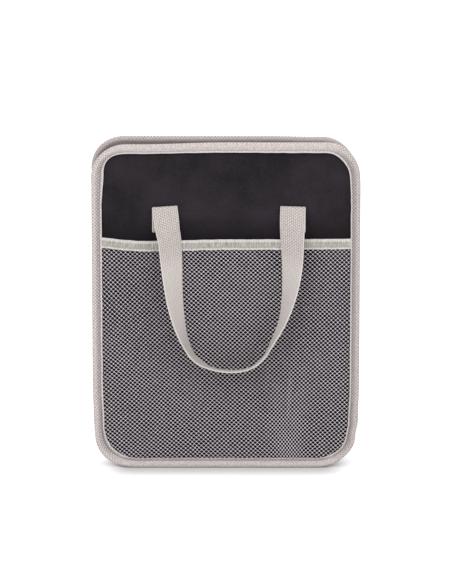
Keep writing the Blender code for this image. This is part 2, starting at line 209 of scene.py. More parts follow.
def add_node(tree, kind, inputs=(), **settings):
    """A shader node with its settings. Its inputs come in order or by name, and each is a value,
    another node's output, or a node, whose first output is meant."""
    made = tree.nodes.new("ShaderNode" + kind)
    for key, value in settings.items():
        setattr(made, key, value)
    if isinstance(inputs, dict):
        pairs = [(made.inputs[key], value) for key, value in inputs.items()]
    else:
        pairs = zip(in_use(made.inputs), inputs)
    for socket, value in pairs:
        if isinstance(value, bpy.types.Node):
            value = in_use(value.outputs)[0]
        if isinstance(value, bpy.types.NodeSocket):
            tree.links.new(value, socket)
        else:
            socket.default_value = value
    return made


def ripple(tree, place, pitch):
    """Runs from 0 to 1 and back once in each pitch of a place in millimetres."""
    turn = add_node(tree, "Math", (place, 2 * math.pi / pitch), operation="MULTIPLY")
    wave = add_node(tree, "Math", (turn,), operation="SINE")
    return add_node(tree, "Math", (wave, 0.5, 0.5), operation="MULTIPLY_ADD")


def mottle(tree, place, size, detail=2.0):
    """Soft patches, from 0 to 1, about as wide as a size in millimetres."""
    return add_node(tree, "TexNoise", {
        "Vector": place, "Scale": 1 / size, "Detail": detail, "Roughness": 0.55,
    })


def band(tree, place, low, high, soft):
    """1 between two places in millimetres and 0 outside them, with soft ends."""
    rise = add_node(tree, "MapRange", (place, low - soft, low + soft), interpolation_type="SMOOTHSTEP")
    fall = add_node(tree, "MapRange", (place, high - soft, high + soft, 1.0, 0.0),
                    interpolation_type="SMOOTHSTEP")
    return add_node(tree, "Math", (rise, fall), operation="MULTIPLY")


def between(tree, amount, low, high):
    """A tone between two sRGB colours."""
    return add_node(tree, "Mix", (amount, to_linear(low), to_linear(high)), data_type="RGBA")


def overlay(tree, colour, layers):
    """A colour with others laid over it, each by its own amount."""
    for amount, code in layers:
        colour = add_node(tree, "Mix", (amount, colour, to_linear(code)), data_type="RGBA")
    return colour


def place_in_mm(tree):
    coords = add_node(tree, "TexCoord").outputs["Object"]
    return add_node(tree, "VectorMath", {0: coords, "Scale": 1 / MM}, operation="SCALE")


def tape_place(tree):
    """A place on a tape in millimetres from its UV map, then its parts along and across."""
    coords = add_node(tree, "UVMap", uv_map="tape")
    parts = add_node(tree, "SeparateXYZ", (coords,))
    return coords, parts.outputs["X"], parts.outputs["Y"]


def cloth_shader(tree, colour, height, relief, roughness, sheen):
    """A matt cloth whose weave is the height, relief millimetres deep."""
    bump = add_node(tree, "Bump", {"Strength": 1.0, "Distance": relief * MM, "Height": height})
    shader = add_node(tree, "BsdfPrincipled", {
        "Base Color": colour, "Roughness": roughness, "Specular IOR Level": 0.25,
        "Sheen Weight": sheen, "Sheen Roughness": 0.5, "Normal": bump,
    })
    add_node(tree, "OutputMaterial", {"Surface": shader})


def make_black_polyester():
    """600-denier polyester, plain woven and coated inside: near black with a faint violet cast,
    matt, grainy, with painted shade that darkens it from 26 mm above the pocket's mouth down,
    deepest at and below the mouth. Its threads are 0.5 mm apart and drawn at 1 mm."""
    material, tree = new_tree("black_600d_polyester")
    place = place_in_mm(tree)
    parts = add_node(tree, "SeparateXYZ", (place,))
    weft = ripple(tree, parts.outputs["X"], 1.0)
    warp = ripple(tree, parts.outputs["Z"], 1.0)
    weave = add_node(tree, "Math", (weft, warp), operation="MULTIPLY")
    fading = add_node(tree, "MapRange", (mottle(tree, place, 45.0, 3.0), 0.35, 0.65))
    grain = add_node(tree, "Math", (mottle(tree, place, 1.3, 1.0), 0.7, -0.29), operation="MULTIPLY_ADD")
    tone = add_node(tree, "Math", (fading, 0.55, grain), operation="MULTIPLY_ADD")
    cloth = between(tree, tone, "#161317", "#393139")
    # Painted shade: the cloth darkens towards the pocket's mouth and stays dark below it
    painted_mouth_shade = add_node(tree, "MapRange", (parts.outputs["Z"], POCKET_TOP, POCKET_TOP + 26.0, 0.85, 0.0),
                       interpolation_type="SMOOTHSTEP")
    cloth = overlay(tree, cloth, [(painted_mouth_shade, "#120B13")])
    height = add_node(tree, "Math", (weave, mottle(tree, place, 2.2)), operation="ADD")
    cloth_shader(tree, cloth, height, 0.12, 0.85, 0.1)
    return material


def twill(tree, along, across, uneven):
    """Slanted ribs that cross those of the other slant, 3.3 mm apart."""
    wander = add_node(tree, "Math", (uneven, along), operation="ADD")
    ribs = ripple(tree, add_node(tree, "Math", (wander, across), operation="ADD"), 3.3)
    counter = ripple(tree, add_node(tree, "Math", (wander, across), operation="SUBTRACT"), 3.3)
    return add_node(tree, "Math", (ribs, counter), operation="MULTIPLY")


def tape_painted_shading(tree, across, inward, x, z, behind):
    """The binding's painted shade and painted highlight, in layers: an amount and a colour each."""
    # Painted shade: the tape greys towards its right-hand side
    painted_right_shade = add_node(tree, "MapRange", (x, 104.0, 124.0, 0.0, 0.22))
    # Painted shade on the inner leaf, in the gap between the walls
    painted_shading = add_node(tree, "MapRange", (across, -2.4, -4.2, 0.0, 0.6))
    # Painted shade in the stitched groove low on the sides
    painted_low_groove_shade = add_node(tree, "Math", (band(tree, inward, 6.6, 8.0, 0.4), band(tree, z, 8.0, 66.0, 10.0)),
                       operation="MULTIPLY")
    painted_low_groove_shade = add_node(tree, "Math", (painted_low_groove_shade, 0.45), operation="MULTIPLY")
    # Painted highlight on the lip, weaker towards the foot
    shown = add_node(tree, "MapRange", (z, 12.0, 45.0, 0.0, 0.5))
    lip = add_node(tree, "Math", (band(tree, inward, 8.8, 10.6, 0.2), shown), operation="MULTIPLY")
    # Painted shade on the underside that stands on the floor
    painted_underside_shade = add_node(tree, "MapRange", (z, 4.5, 1.0, 0.0, 0.4))
    # Painted shade on the back wall's tape
    darker = add_node(tree, "Math", (behind, 0.3), operation="MULTIPLY")
    return (
        (painted_right_shade, "#8F8885"),
        (painted_shading, "#756D6A"),
        (painted_low_groove_shade, "#6A6462"),
        (lip, "#FFF8F7"),
        (painted_underside_shade, "#8A827E"),
        (darker, "#8F8885"),
    )


def make_binding_tape():
    """Polyester twill tape, steam-pressed over the edge: pale warm grey and matt, with crossing
    slanted ribs 1 mm apart, drawn at 3.3 mm. Painted shade greys it towards its stitched groove,
    most on the two sides and most of all on the right; a painted highlight lightens its lip, and
    its fold stays pale. Painted shade also greys its inner leaf, the back wall's tape, the foot's
    lip and the underside that stands on the floor."""
    material, tree = new_tree("pale_grey_twill_tape")
    coords, along, across = tape_place(tree)
    inward = add_node(tree, "Math", (across,), operation="ABSOLUTE")
    x, y, z = add_node(tree, "SeparateXYZ", (place_in_mm(tree),)).outputs
    aside = add_node(tree, "Math", (x,), operation="ABSOLUTE")
    # The painted shade and the twill show most on the two sides
    along_sides = add_node(tree, "MapRange", (aside, 104.0, 122.0, 0.15, 1.0))
    behind = add_node(tree, "MapRange", (y, 8.0, 9.5))
    # Painted shade on the foot's lip
    foot = add_node(tree, "Math", (band(tree, inward, 7.4, 12.0, 0.4), band(tree, z, -9.0, 11.0, 1.5)),
                    operation="MULTIPLY")
    # Painted shade in the valley towards the stitched groove, and on the foot's lip
    painted_valley_shade = add_node(tree, "Math", (band(tree, inward, 4.2, 8.3, 1.2), along_sides), operation="MULTIPLY")
    painted_valley_shade = add_node(tree, "Math", (painted_valley_shade, foot), operation="MAXIMUM")
    # Painted shade in the stitched groove itself, most on the two sides
    groove = add_node(tree, "Math", (band(tree, inward, 6.9, 8.0, 0.4), along_sides), operation="MULTIPLY")

    uneven = mottle(tree, coords, 2.4)
    crisp = add_node(tree, "Math", (behind, 0.8), operation="MULTIPLY")
    crisp = add_node(tree, "Math", (crisp, along_sides), operation="MAXIMUM")
    strong = add_node(tree, "Math", (crisp, 1.3), operation="MULTIPLY")
    checks = add_node(tree, "Math", (twill(tree, along, across, uneven), strong), operation="MULTIPLY")
    spots = add_node(tree, "MapRange", (uneven, 0.3, 0.7, 0.36, 0.76))
    plain = add_node(tree, "Math", (crisp, -0.25, spots), operation="MULTIPLY_ADD")
    shade = add_node(tree, "Math", (checks, plain), operation="ADD")

    pale = between(tree, shade, "#A99F9E", "#F8EEEC")
    # Tones of the painted shade in the valley and in the groove
    grey = between(tree, shade, "#847D7B", "#D6CDCC")
    dark = between(tree, shade, "#787170", "#C4BCBA")
    tape = add_node(tree, "Mix", (painted_valley_shade, pale, grey), data_type="RGBA")
    tape = add_node(tree, "Mix", (groove, tape, dark), data_type="RGBA")
    tape = overlay(tree, tape, tape_painted_shading(tree, across, inward, x, z, behind))
    height = add_node(tree, "Math", (uneven, 0.7, checks), operation="MULTIPLY_ADD")
    cloth_shader(tree, tape, height, 0.2, 0.8, 0.2)
    return material


def make_hem_tape():
    """Elastic-edged polyester braid: pale grey with cross ribs, matt, its rolled upper rim and
    its stitched lower bead paler than the pressed band between them."""
    material, tree = new_tree("pale_grey_ribbed_braid")
    coords, along, across = tape_place(tree)
    uneven = mottle(tree, coords, 2.2)
    ribs = ripple(tree, add_node(tree, "Math", (uneven, 2.0, along), operation="MULTIPLY_ADD"), 2.1)
    drawn = add_node(tree, "Mapping", {"Vector": coords, "Scale": (1.0, 0.12, 1.0)})
    streaks = add_node(tree, "Math", (mottle(tree, drawn, 0.9), 2.5, -1.0), operation="MULTIPLY_ADD")
    shade = add_node(tree, "Math", (uneven, 0.5, streaks), operation="MULTIPLY_ADD")
    pressed = band(tree, across, 2.6, 8.6, 0.7)
    pale = between(tree, shade, "#D2CCC8", "#FBF6F4")
    grey = between(tree, shade, "#9A948D", "#E0DCD5")
    tape = add_node(tree, "Mix", (pressed, pale, grey), data_type="RGBA")
    height = add_node(tree, "Math", (uneven, 0.5, ribs), operation="MULTIPLY_ADD")
    cloth_shader(tree, tape, height, 0.25, 0.8, 0.2)
    return material


def make_net_yarn():
    """Warp-knitted polyester yarn: pale lilac grey with the soft sheen of bright filament."""
    material, tree = new_tree("lilac_grey_knitted_yarn")
    place = place_in_mm(tree)
    yarn = between(tree, mottle(tree, place, 14.0), "#F4E9F5", "#FFFAFF")
    cloth_shader(tree, yarn, mottle(tree, place, 0.7), 0.08, 0.6, 0.2)
    return material


def make_webbing():
    """Polypropylene webbing, herringbone woven: pale warm grey, matt, in columns of slanted
    stitches 2 mm wide and 2.8 mm long; painted light makes both arms paler and evens their weave."""
    material, tree = new_tree("pale_grey_woven_webbing")
    coords, along, across = tape_place(tree)
    column = ripple(tree, across, 2.0)
    zigzag = add_node(tree, "Math", (across, STRAP_WIDTH / 4), operation="PINGPONG")
    slant = add_node(tree, "Math", (zigzag, 0.75, along), operation="MULTIPLY_ADD")
    weave = add_node(tree, "Math", (column, ripple(tree, slant, 2.8)), operation="MULTIPLY")
    from_edge = add_node(tree, "Math", (across, STRAP_WIDTH / 2), operation="PINGPONG")
    edge = add_node(tree, "MapRange", (from_edge, 1.2, 0.6))
    relief = add_node(tree, "Mix", (edge, weave, 0.6))
    shade = add_node(tree, "Math", (mottle(tree, coords, 3.5), 0.4, relief), operation="MULTIPLY_ADD")
    height = add_node(tree, "SeparateXYZ", (place_in_mm(tree),)).outputs["Z"]
    # Painted light: the arms, turned from the lamps, are made paler and their weave evened
    painted_shading = add_node(tree, "Math", (band(tree, height, 140.0, 218.0, 14.0), 0.4), operation="MULTIPLY")
    web = overlay(tree, between(tree, shade, "#A99F9A", "#F6EFEB"), [(painted_shading, "#F8F0EC")])
    cloth_shader(tree, web, relief, 0.3, 0.75, 0.2)
    return material


def make_thread():
    """Bonded polyester sewing thread, a shade darker than the tape, slightly glossy."""
    material, tree = new_tree("grey_sewing_thread")
    place = place_in_mm(tree)
    thread = between(tree, mottle(tree, place, 6.0), "#98908C", "#B9B1AD")
    cloth_shader(tree, thread, mottle(tree, place, 0.5), 0.05, 0.55, 0.1)
    return material


def make_board():
    """Black polyethylene stiffener board, extruded: dark grey, satin, faintly drawn lines."""
    material, tree = new_tree("extruded_polyethylene_board")
    stretched = add_node(tree, "Mapping", {"Vector": place_in_mm(tree), "Scale": (1.0, 1.0, 0.05)})
    lines = mottle(tree, stretched, 1.5)
    cloth_shader(tree, between(tree, lines, "#2C2C2D", "#3A3A3B"), lines, 0.05, 0.45, 0.0)
    return material


# Pieces

def finish_piece(name, bm, material, stands_for=(), side="front", thickness=0.0, smooth=True):
    """Turns a wall's piece to its side, scales it to metres and lets it ride on the body."""
    bmesh.ops.rotate(bm, verts=bm.verts, cent=(0, 0, 0), matrix=Matrix.Rotation(WALL_TURNS[side], 3, "Z"))
    bmesh.ops.scale(bm, vec=(MM, MM, MM), verts=bm.verts)
    mesh = bpy.data.meshes.new(name)
    bm.to_mesh(mesh)
    bm.free()
    mesh.materials.append(material)
    if smooth:
        mesh.shade_smooth()
    piece = bpy.data.objects.new(name, mesh)
    bpy.context.collection.objects.link(piece)
    if thickness:
        solid = piece.modifiers.new("sheet_thickness", "SOLIDIFY")
        solid.thickness = thickness * MM
        solid.offset = 0.0
    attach(piece, BODY)
    if stands_for:
        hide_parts(*stands_for)
    return piece


def ease(value, low, high):
    """Runs smoothly from 0 at low to 1 at high."""
    part = min(max((value - low) / (high - low), 0.0), 1.0)
    return part * part * (3 - 2 * part)


def settle_front(x, z):
    """The top droops towards its left, the sides draw in above the foot's corners, the right top
    corner tucks in and the left corner of the foot is squarer."""
    waist = 1.3 * math.exp(-((z - 50.0) / 18.0) ** 2)
    waist += (1.8 if x > 0 else 0.7) * math.exp(-((z - 35.0) / 8.0) ** 2)
    waist *= ease(abs(x), 90.0, 125.0)
    into_x = max(BOTTOM_CORNER - PANEL_WIDTH / 2 - x, 0.0) / BOTTOM_CORNER
    into_z = max(BOTTOM_CORNER - z, 0.0) / BOTTOM_CORNER
    push = 5.6 * (into_x * into_z) ** 2
    droop = 2.0 * ease(-x, 0.0, 85.0) * ease(z, 290.0, PANEL_HEIGHT)
    tuck = 0.9 * ease(x, 90.0, 130.0) * ease(z, 285.0, 315.0)
    return x - math.copysign(waist, x) - tuck - push, z - droop - push


def settle_back(x, z):
    """The top is pinched in at one corner, spread a little at the other, and droops slightly."""
    pinch = 4.7 * ease(-x, 60.0, 130.0) * ease(z, 255.0, 325.0)
    spread = 1.3 * ease(x, 90.0, 128.0) * ease(z, 285.0, 325.0)
    droop = 0.9 * ease(-x, 40.0, 90.0) * ease(z, 290.0, PANEL_HEIGHT)
    return x + pinch + spread, z - droop + 0.5 * spread


def settle(side, x, z):
    """Where a place on an end wall has come to lie as the wall settled."""
    return settle_front(x, z) if side == "front" else settle_back(x, z)


def settled(bm, side):
    for vert in bm.verts:
        vert.co.x, vert.co.z = settle(side, vert.co.x, vert.co.z)


def sweep(sections, along, across, closed_ends=False):
    """Extrudes the first section's loop through the others, with a UV map in millimetres."""
    bm = bmesh.new()
    tape = bm.loops.layers.uv.new("tape")
    run = bm.verts.layers.float.new("run")
    rim = bm.verts.layers.int.new("rim")
    count = len(sections[0])
    loop = [bm.verts.new(point) for point in sections[0]]
    for index, vert in enumerate(loop):
        vert[rim] = index
        vert[run] = along[0]
    edges = [bm.edges.new((loop[i - 1], loop[i])) for i in range(count)]
    first_edges = edges
    for section, distance in zip(sections[1:], along[1:]):
        grown = bmesh.ops.extrude_edge_only(bm, edges=edges)["geom"]
        fresh = [item for item in grown if isinstance(item, bmesh.types.BMVert)]
        edges = [item for item in grown if isinstance(item, bmesh.types.BMEdge)]
        edges = [edge for edge in edges if edge.is_boundary]
        for vert in fresh:
            vert.co = section[vert[rim]]
            vert[run] = distance
    for face in bm.faces:
        wraps = {corner.vert[rim] for corner in face.loops} == {0, count - 1}
        for corner in face.loops:
            place = across[corner.vert[rim]]
            if wraps and corner.vert[rim] == 0:
                place = across[count - 1] + 1.0
            corner[tape].uv = (corner.vert[run], place)
    if closed_ends:
        bmesh.ops.edgeloop_fill(bm, edges=first_edges)
        bmesh.ops.edgeloop_fill(bm, edges=edges)
    return bm


def lengths_along(points):
    """The distance run at each point of a path."""
    run, total = [0.0], 0.0
    for before, after in zip(points, points[1:]):
        total += math.dist(before, after)
        run.append(total)
    return run


def way_along(points, index):
    """The way that a path runs at one of its points."""
    before = Vector(points[max(index - 1, 0)])
    after = Vector(points[min(index + 1, len(points) - 1)])
    return after - before


def outline_stations(step):
    """Points round the end wall's outer edge, each with its outward way, first one repeated."""
    half = PANEL_WIDTH / 2
    corners = (
        (half - TOP_CORNER, PANEL_HEIGHT - TOP_CORNER, TOP_CORNER, 0.0),
        (TOP_CORNER - half, PANEL_HEIGHT - TOP_CORNER, TOP_CORNER, math.pi / 2),
        (BOTTOM_CORNER - half, BOTTOM_CORNER, BOTTOM_CORNER, math.pi),
        (half - BOTTOM_CORNER, BOTTOM_CORNER, BOTTOM_CORNER, 3 * math.pi / 2),
    )
    stations = []
    for index, (x, z, radius, start) in enumerate(corners):
        for part in range(CORNER_STEPS + 1):
            angle = start + math.pi / 2 * part / CORNER_STEPS
            way = (math.cos(angle), math.sin(angle))
            stations.append((x + radius * way[0], z + radius * way[1], way))
        after = corners[(index + 1) % len(corners)]
        end = (after[0] + after[2] * way[0], after[1] + after[2] * way[1])
        begin = stations[-1][:2]
        pieces = round(math.dist(begin, end) / step)
        for part in range(1, pieces):
            share = part / pieces
            here_x = begin[0] + (end[0] - begin[0]) * share
            here_z = begin[1] + (end[1] - begin[1]) * share
            stations.append((here_x, here_z, way))
    stations.append(stations[0])
    return stations


def panel_outline(inset):
    return [(x - inset * way[0], z - inset * way[1]) for x, z, way in outline_stations(1000.0)[:-1]]


def cut_in_squares(bm, spacing, width, height):
    for normal, reach in ((Vector((1, 0, 0)), width / 2), (Vector((0, 0, 1)), height)):
        start = -reach if normal.x else 0.0
        for index in range(1, int((reach - start) / spacing) + 1):
            everything = bm.verts[:] + bm.edges[:] + bm.faces[:]
            point = normal * (start + index * spacing)
            bmesh.ops.bisect_plane(bm, geom=everything, plane_co=point, plane_no=normal, dist=0.01)


def make_wall_cloth(side, layer, depth, polyester):
    """One layer of an end wall, slightly uneven as cloth over a board is."""
    bm = bmesh.new()
    bm.faces.new([bm.verts.new((x, 0.0, z)) for x, z in panel_outline(STACK_INSET)])
    cut_in_squares(bm, CLOTH_SPACING, PANEL_WIDTH, PANEL_HEIGHT)
    for vert in bm.verts:
        waviness = noise.noise(Vector((vert.co.x / 38, vert.co.z / 46, CLOTH_WAVES[layer])))
        vert.co.y = -depth - 0.22 * waviness
    bmesh.ops.recalc_face_normals(bm, faces=bm.faces)
    settled(bm, side)
    name = f"{side}_{layer}_cloth"
    piece = finish_piece(name, bm, polyester, [f"{side}_{layer}"], side, CLOTH_SHOWN)
    return piece


def make_wall_board(side, board):
    """The stiffener in an end wall, sprung to the shape that the wall has settled in."""
    bm = bmesh.new()
    sheet = bm.faces.new([bm.verts.new((x, -BOARD_BACK, z)) for x, z in panel_outline(STACK_INSET)])
    for item in bmesh.ops.extrude_face_region(bm, geom=[sheet])["geom"]:
        if isinstance(item, bmesh.types.BMVert):
            item.co.y = -BOARD_FACE
    bmesh.ops.recalc_face_normals(bm, faces=bm.faces)
    settled(bm, side)
    name = f"{side}_stiffener"
    return finish_piece(name, bm, board, [f"{side}_board"], side, smooth=False)


def leaf_place(inward, way, x, z):
    """Where a place on the binding's leaf lies: the leaf is narrow above and widest at the foot."""
    left, right = max(-way[0], 0.0) ** 2, max(way[0], 0.0) ** 2
    top, foot = max(way[1], 0.0) ** 2, max(-way[1], 0.0) ** 2
    along_top = LEAF_TOP + LEAF_TOP_GROWTH * min(max(x / 85.0, -1.0), 1.0)
    width = LEAF_LEFT * left + LEAF_RIGHT * right + along_top * top + LEAF_FOOT * foot
    width += LEAF_LEFT_FOOT * left * foot + LEAF_LEFT_TOP * left * top + LEAF_RIGHT_TOP * right * top
    width += (LEAF_LEFT_RISE * left + LEAF_RIGHT_RISE * right) * ease(z, 270.0, 305.0)
    if inward < LEAF_FIXED:
        return inward
    return LEAF_FIXED + (inward - LEAF_FIXED) * (width - LEAF_FIXED) / (BINDING_WIDTH - LEAF_FIXED)


def binding_profile():
    """The tape's section, from its stitched lip over the nose and back: inward place and depth."""
    middle = (LEAF_OUTER + REAR_LEAF_BACK) / 2
    face = LEAF_OUTER - middle
    leaf = [
        (9.5, LEAF_INNER - middle + 0.2),
        (9.85, face - 0.4),
        (9.65, face + 0.02),
        (9.2, face + 0.15),
        (8.75, face - 0.05),
        (8.3, face - 0.45),
        (GROOVE_INWARD, face - 0.65),
        (6.7, face - 0.45),
        (5.8, face - 0.2),
        (4.8, face),
        (LEAF_FIXED, face + 0.08),
    ]
    for part in range(9):
        angle = math.pi / 2 * part / 8
        leaf.append((2.6 * (1 - math.sin(angle)), 1.0 + (face - 1.0) * math.cos(angle)))
    back = [(inward, -depth) for inward, depth in reversed(leaf)]
    channel = [
        (9.4, REAR_LEAF_FACE - middle),
        (BINDING_NOSE, REAR_LEAF_FACE - middle),
        (BINDING_NOSE, LEAF_INNER - middle),
        (9.4, LEAF_INNER - middle),
    ]
    return [(inward, middle + depth) for inward, depth in leaf + back + channel]


def make_binding(side, tape):
    profile = binding_profile()
    stations = outline_stations(BINDING_STEP)
    run = lengths_along([(x, z) for x, z, _ in stations])
    sections = []
    for (x, z, way), distance in zip(stations, run):
        turn = 2 * math.pi * distance / run[-1]
        wave = 0.3 * noise.noise(Vector((21 * math.cos(turn), 21 * math.sin(turn), 4.0)))
        section = []
        for inward, depth in profile:
            ring = Vector((9 * math.cos(turn), 9 * math.sin(turn), inward / 6))
            puff = 0.25 * noise.noise(ring * 2.2) if depth > REAR_LEAF_FACE + 1 else 0.0
            here = leaf_place(inward, way, x, z)
            if inward > LEAF_FIXED:
                here += wave * (inward - LEAF_FIXED) / (BINDING_WIDTH - LEAF_FIXED)
            section.append((x - here * way[0], -depth - puff, z - here * way[1]))
        sections.append(section)
    across = [inward if depth > REAR_LEAF_FACE else -inward for inward, depth in profile]
    bm = sweep(sections, run, across)
    bmesh.ops.remove_doubles(bm, verts=bm.verts, dist=0.001)
    bmesh.ops.recalc_face_normals(bm, faces=bm.faces)
    settled(bm, side)
    return finish_piece(f"{side}_binding_tape", bm, tape, [f"{side}_binding"], side)


def make_stitch_row(name, side, places, thread, length=2.3, width=0.55):
    """A row of lock stitches; each place is a centre and the way that its thread runs."""
    bm = bmesh.new()
    for centre, way in places:
        turn = Vector(way).to_track_quat("X", "Y").to_matrix().to_4x4()
        shape = Matrix.Diagonal((length / 2, width / 2, width / 2, 1.0))
        place = Matrix.Translation(centre)
        bmesh.ops.create_icosphere(bm, subdivisions=1, radius=1.0, matrix=place @ turn @ shape)
    settled(bm, side)
    return finish_piece(name, bm, thread, (), side)


def binding_stitches(side, thread):
    places = []
    stations = outline_stations(BINDING_STITCH)
    for leaf_depth in (LEAF_OUTER - 0.5, REAR_LEAF_BACK + 0.5):
        for (x, z, way), (after_x, after_z, after_way) in zip(stations, stations[1:]):
            inward = leaf_place(GROOVE_INWARD, way, x, z)
            after_inward = leaf_place(GROOVE_INWARD, after_way, after_x, after_z)
            here = Vector((x - inward * way[0], -leaf_depth, z - inward * way[1]))
            there_x = after_x - after_inward * after_way[0]
            there = Vector((there_x, -leaf_depth, after_z - after_inward * after_way[1]))
            if (there - here).length > 1.2:
                places.append(((here + there) / 2, there - here))
    return make_stitch_row(f"{side}_binding_stitches", side, places, thread)


# Net pocket

def pocket_half_width():
    return PANEL_WIDTH / 2 - BINDING_WIDTH - CLEARANCE


def hem_line(x):
    """Height of the pocket's mouth: it drops quickly at the left, then rises to a level run."""
    half = pocket_half_width()
    along = min(max((x + half) / (2 * half), 0.0), 1.0)
    if along < HEM_SAG_AT:
        return POCKET_TOP - HEM_SAG * math.sin(math.pi / 2 * along / HEM_SAG_AT)
    return POCKET_TOP - HEM_SAG + (HEM_SAG - HEM_LEVEL) * ease(along, HEM_SAG_AT, HEM_LEVEL_AT)


def pocket_bulge(x, z):
    half = pocket_half_width()
    across = max(1.0 - (x / half) ** 2, 0.0)
    up = min(max(z / POCKET_TOP, 0.0), 1.0)
    return POCKET_BULGE * across ** 1.5 * up ** 3


def inside_pocket(x, z, margin):
    """Whether a place lies within the pocket, a margin inside the wall's edge and the mouth."""
    if abs(x) > PANEL_WIDTH / 2 - margin or z < margin or z > hem_line(x) - 2.5:
        return False
    dx = abs(x) - (PANEL_WIDTH / 2 - BOTTOM_CORNER)
    dz = BOTTOM_CORNER - z
    return dx <= 0 or dz <= 0 or math.hypot(dx, dz) <= BOTTOM_CORNER - margin


def crease(x, z, foot, head, width):
    """A crease between two places: 1 on its line, falling to 0 at its width, with the side."""
    line = Vector(head) - Vector(foot)
    offset = Vector((x, z)) - Vector(foot)
    share = offset.dot(line) / line.length_squared
    aside = (offset - line * share).dot(Vector((line.y, -line.x)).normalized())
    fade = ease(share, -0.15, 0.15) * ease(1.15 - share, 0.0, 0.3)
    return fade * math.exp(-(aside / width) ** 2), aside


def net_drift(x, z):
    """How far the knitted rows have pulled out of true."""
    slow = noise.noise_vector(Vector((x / 55, z / 55, 3.1)))
    quick = noise.noise_vector(Vector((x / 11, z / 11, 7.7)))
    near_hem = max(1.0 - (POCKET_TOP - z) / 40.0, 0.0)
    near_left = max(1.0 - (x + PANEL_WIDTH / 2) / 35.0, 0.0)
    loose = 0.08 + 0.3 * max(near_hem, near_left)
    drift_x = 0.9 * slow.x + loose * quick.x
    drift_z = 0.9 * slow.y + loose * quick.y
    lean = -0.05 + (0.105 - 0.05 * ease(z, 150.0, 190.0)) * ease(x, 35.0, 90.0)
    drift_x += lean * (z - 120.0)
    drift_z += (0.03 * x - 0.000275 * x * x) * (1.0 - 0.6 * ease(z, 150.0, 205.0))
    for foot, head, width, pull in CREASES:
        near, aside = crease(x, z, foot, head, width)
        drift_x -= pull * near * aside / width
    return drift_x, drift_z


def net_grid(spread):
    """A grid turned on its corner, its knots drifted, that covers the pocket and more. The seed
    keeps the drift the same each run."""
    noise.seed_set(NET_SEED)
    bm = bmesh.new()
    bmesh.ops.create_grid(bm, x_segments=spread, y_segments=spread, size=spread / 2)
    for vert in bm.verts:
        across, up = vert.co.x, vert.co.y
        x = (across - up) * MESH_WIDTH / 2
        z = POCKET_TOP / 2 + (across + up) * MESH_HEIGHT / 2
        drift_x, drift_z = net_drift(x, z)
        vert.co = (x + drift_x, 0.0, z + drift_z)
    return bm


def cut_meshes(bm):
    """Cuts the grid's knots off, insets each mesh to a rounded hole and draws the cut knots
    together again, so that only the yarns are left."""
    inner = [vert for vert in bm.verts if not vert.is_boundary]
    made = bmesh.ops.bevel(bm, geom=inner, offset=KNOT_REACH, offset_type="OFFSET", segments=1, profile=0.5,
                           affect="VERTICES", material=-1)
    knots = set(made["faces"])
    knot_edges = dict.fromkeys(edge for face in made["faces"] for edge in face.edges)
    meshes = []
    for face in bm.faces:
        centre = face.calc_center_median()
        if face not in knots and inside_pocket(centre.x, centre.z, LEAF_RIGHT - 3.0):
            meshes.append(face)
    bmesh.ops.inset_individual(bm, faces=meshes, thickness=STRAND / 2, use_even_offset=True)
    for face in meshes:
        centre = face.calc_center_median()
        for vert in face.verts:
            vert.co.x = centre.x + (vert.co.x - centre.x) * HOLE_STRETCH[0]
            vert.co.z = centre.z + (vert.co.z - centre.z) * HOLE_STRETCH[1]
    bmesh.ops.delete(bm, geom=meshes, context="FACES")
    bmesh.ops.collapse(bm, edges=[edge for edge in knot_edges if edge.is_valid])


def make_net(side, yarn):
    """Diamond net: a grid with its meshes cut out, raised along its yarns and mirrored, so that
    each yarn is a closed lens, then hung where the pocket bulges and creases."""
    bm = net_grid(math.ceil(PANEL_WIDTH / MESH_WIDTH + POCKET_TOP / MESH_HEIGHT) + 14)
    outside = []
    for face in bm.faces:
        centre = face.calc_center_median()
        if not inside_pocket(centre.x, centre.z, STACK_INSET + 2.0):
            outside.append(face)
    bmesh.ops.delete(bm, geom=outside, context="FACES")
    cut_meshes(bm)
    for vert in bm.verts:
        vert.co.y = 0.0 if vert.is_boundary else -YARN
    bmesh.ops.mirror(bm, geom=bm.verts[:] + bm.edges[:] + bm.faces[:], merge_dist=0.001, axis="Y")
    for vert in bm.verts:
        x, z = vert.co.x, vert.co.z
        folded = sum(crease(x, z, foot, head, width)[0] for foot, head, width, _ in CREASES)
        vert.co.y -= (NET_BACK + NET_FACE) / 2 + pocket_bulge(x, z) + 0.35 * folded
    bmesh.ops.recalc_face_normals(bm, faces=bm.faces)
    piece = finish_piece(f"{side}_fine_net", bm, yarn, [f"{side}_pocket_net"], side)
    return piece


def hem_depth(x, top):
    """How far out the braid's back lies, on the net that it is sewn to."""
    return NET_FACE + CLEARANCE + pocket_bulge(x, top)


def hem_section(inner, outer, top, bottom):
    """The braid's section, as depths and heights: bead below, pressed band, rolled rim above."""
    return (
        (inner, bottom + 0.1),
        (outer - 0.25, bottom - 0.1),
        (outer + 0.08, bottom + 0.5),
        (outer, bottom + 1.4),
        (outer - 0.45, bottom + 2.2),
        (outer - 0.15, bottom + 3.0),
        (outer - 0.05, bottom + 5.0),
        (outer - 0.05, top - 3.0),
        (outer + 0.25, top - 2.2),
        (outer + 0.4, top - 1.3),
        (outer + 0.15, top - 0.4),
        (outer - HEM / 2, top + 0.1),
        (inner - 0.5, top),
        (inner - 1.1, top - 0.4),
        (inner - 1.1, top - 2.0),
        (inner, top - 2.2),
    )


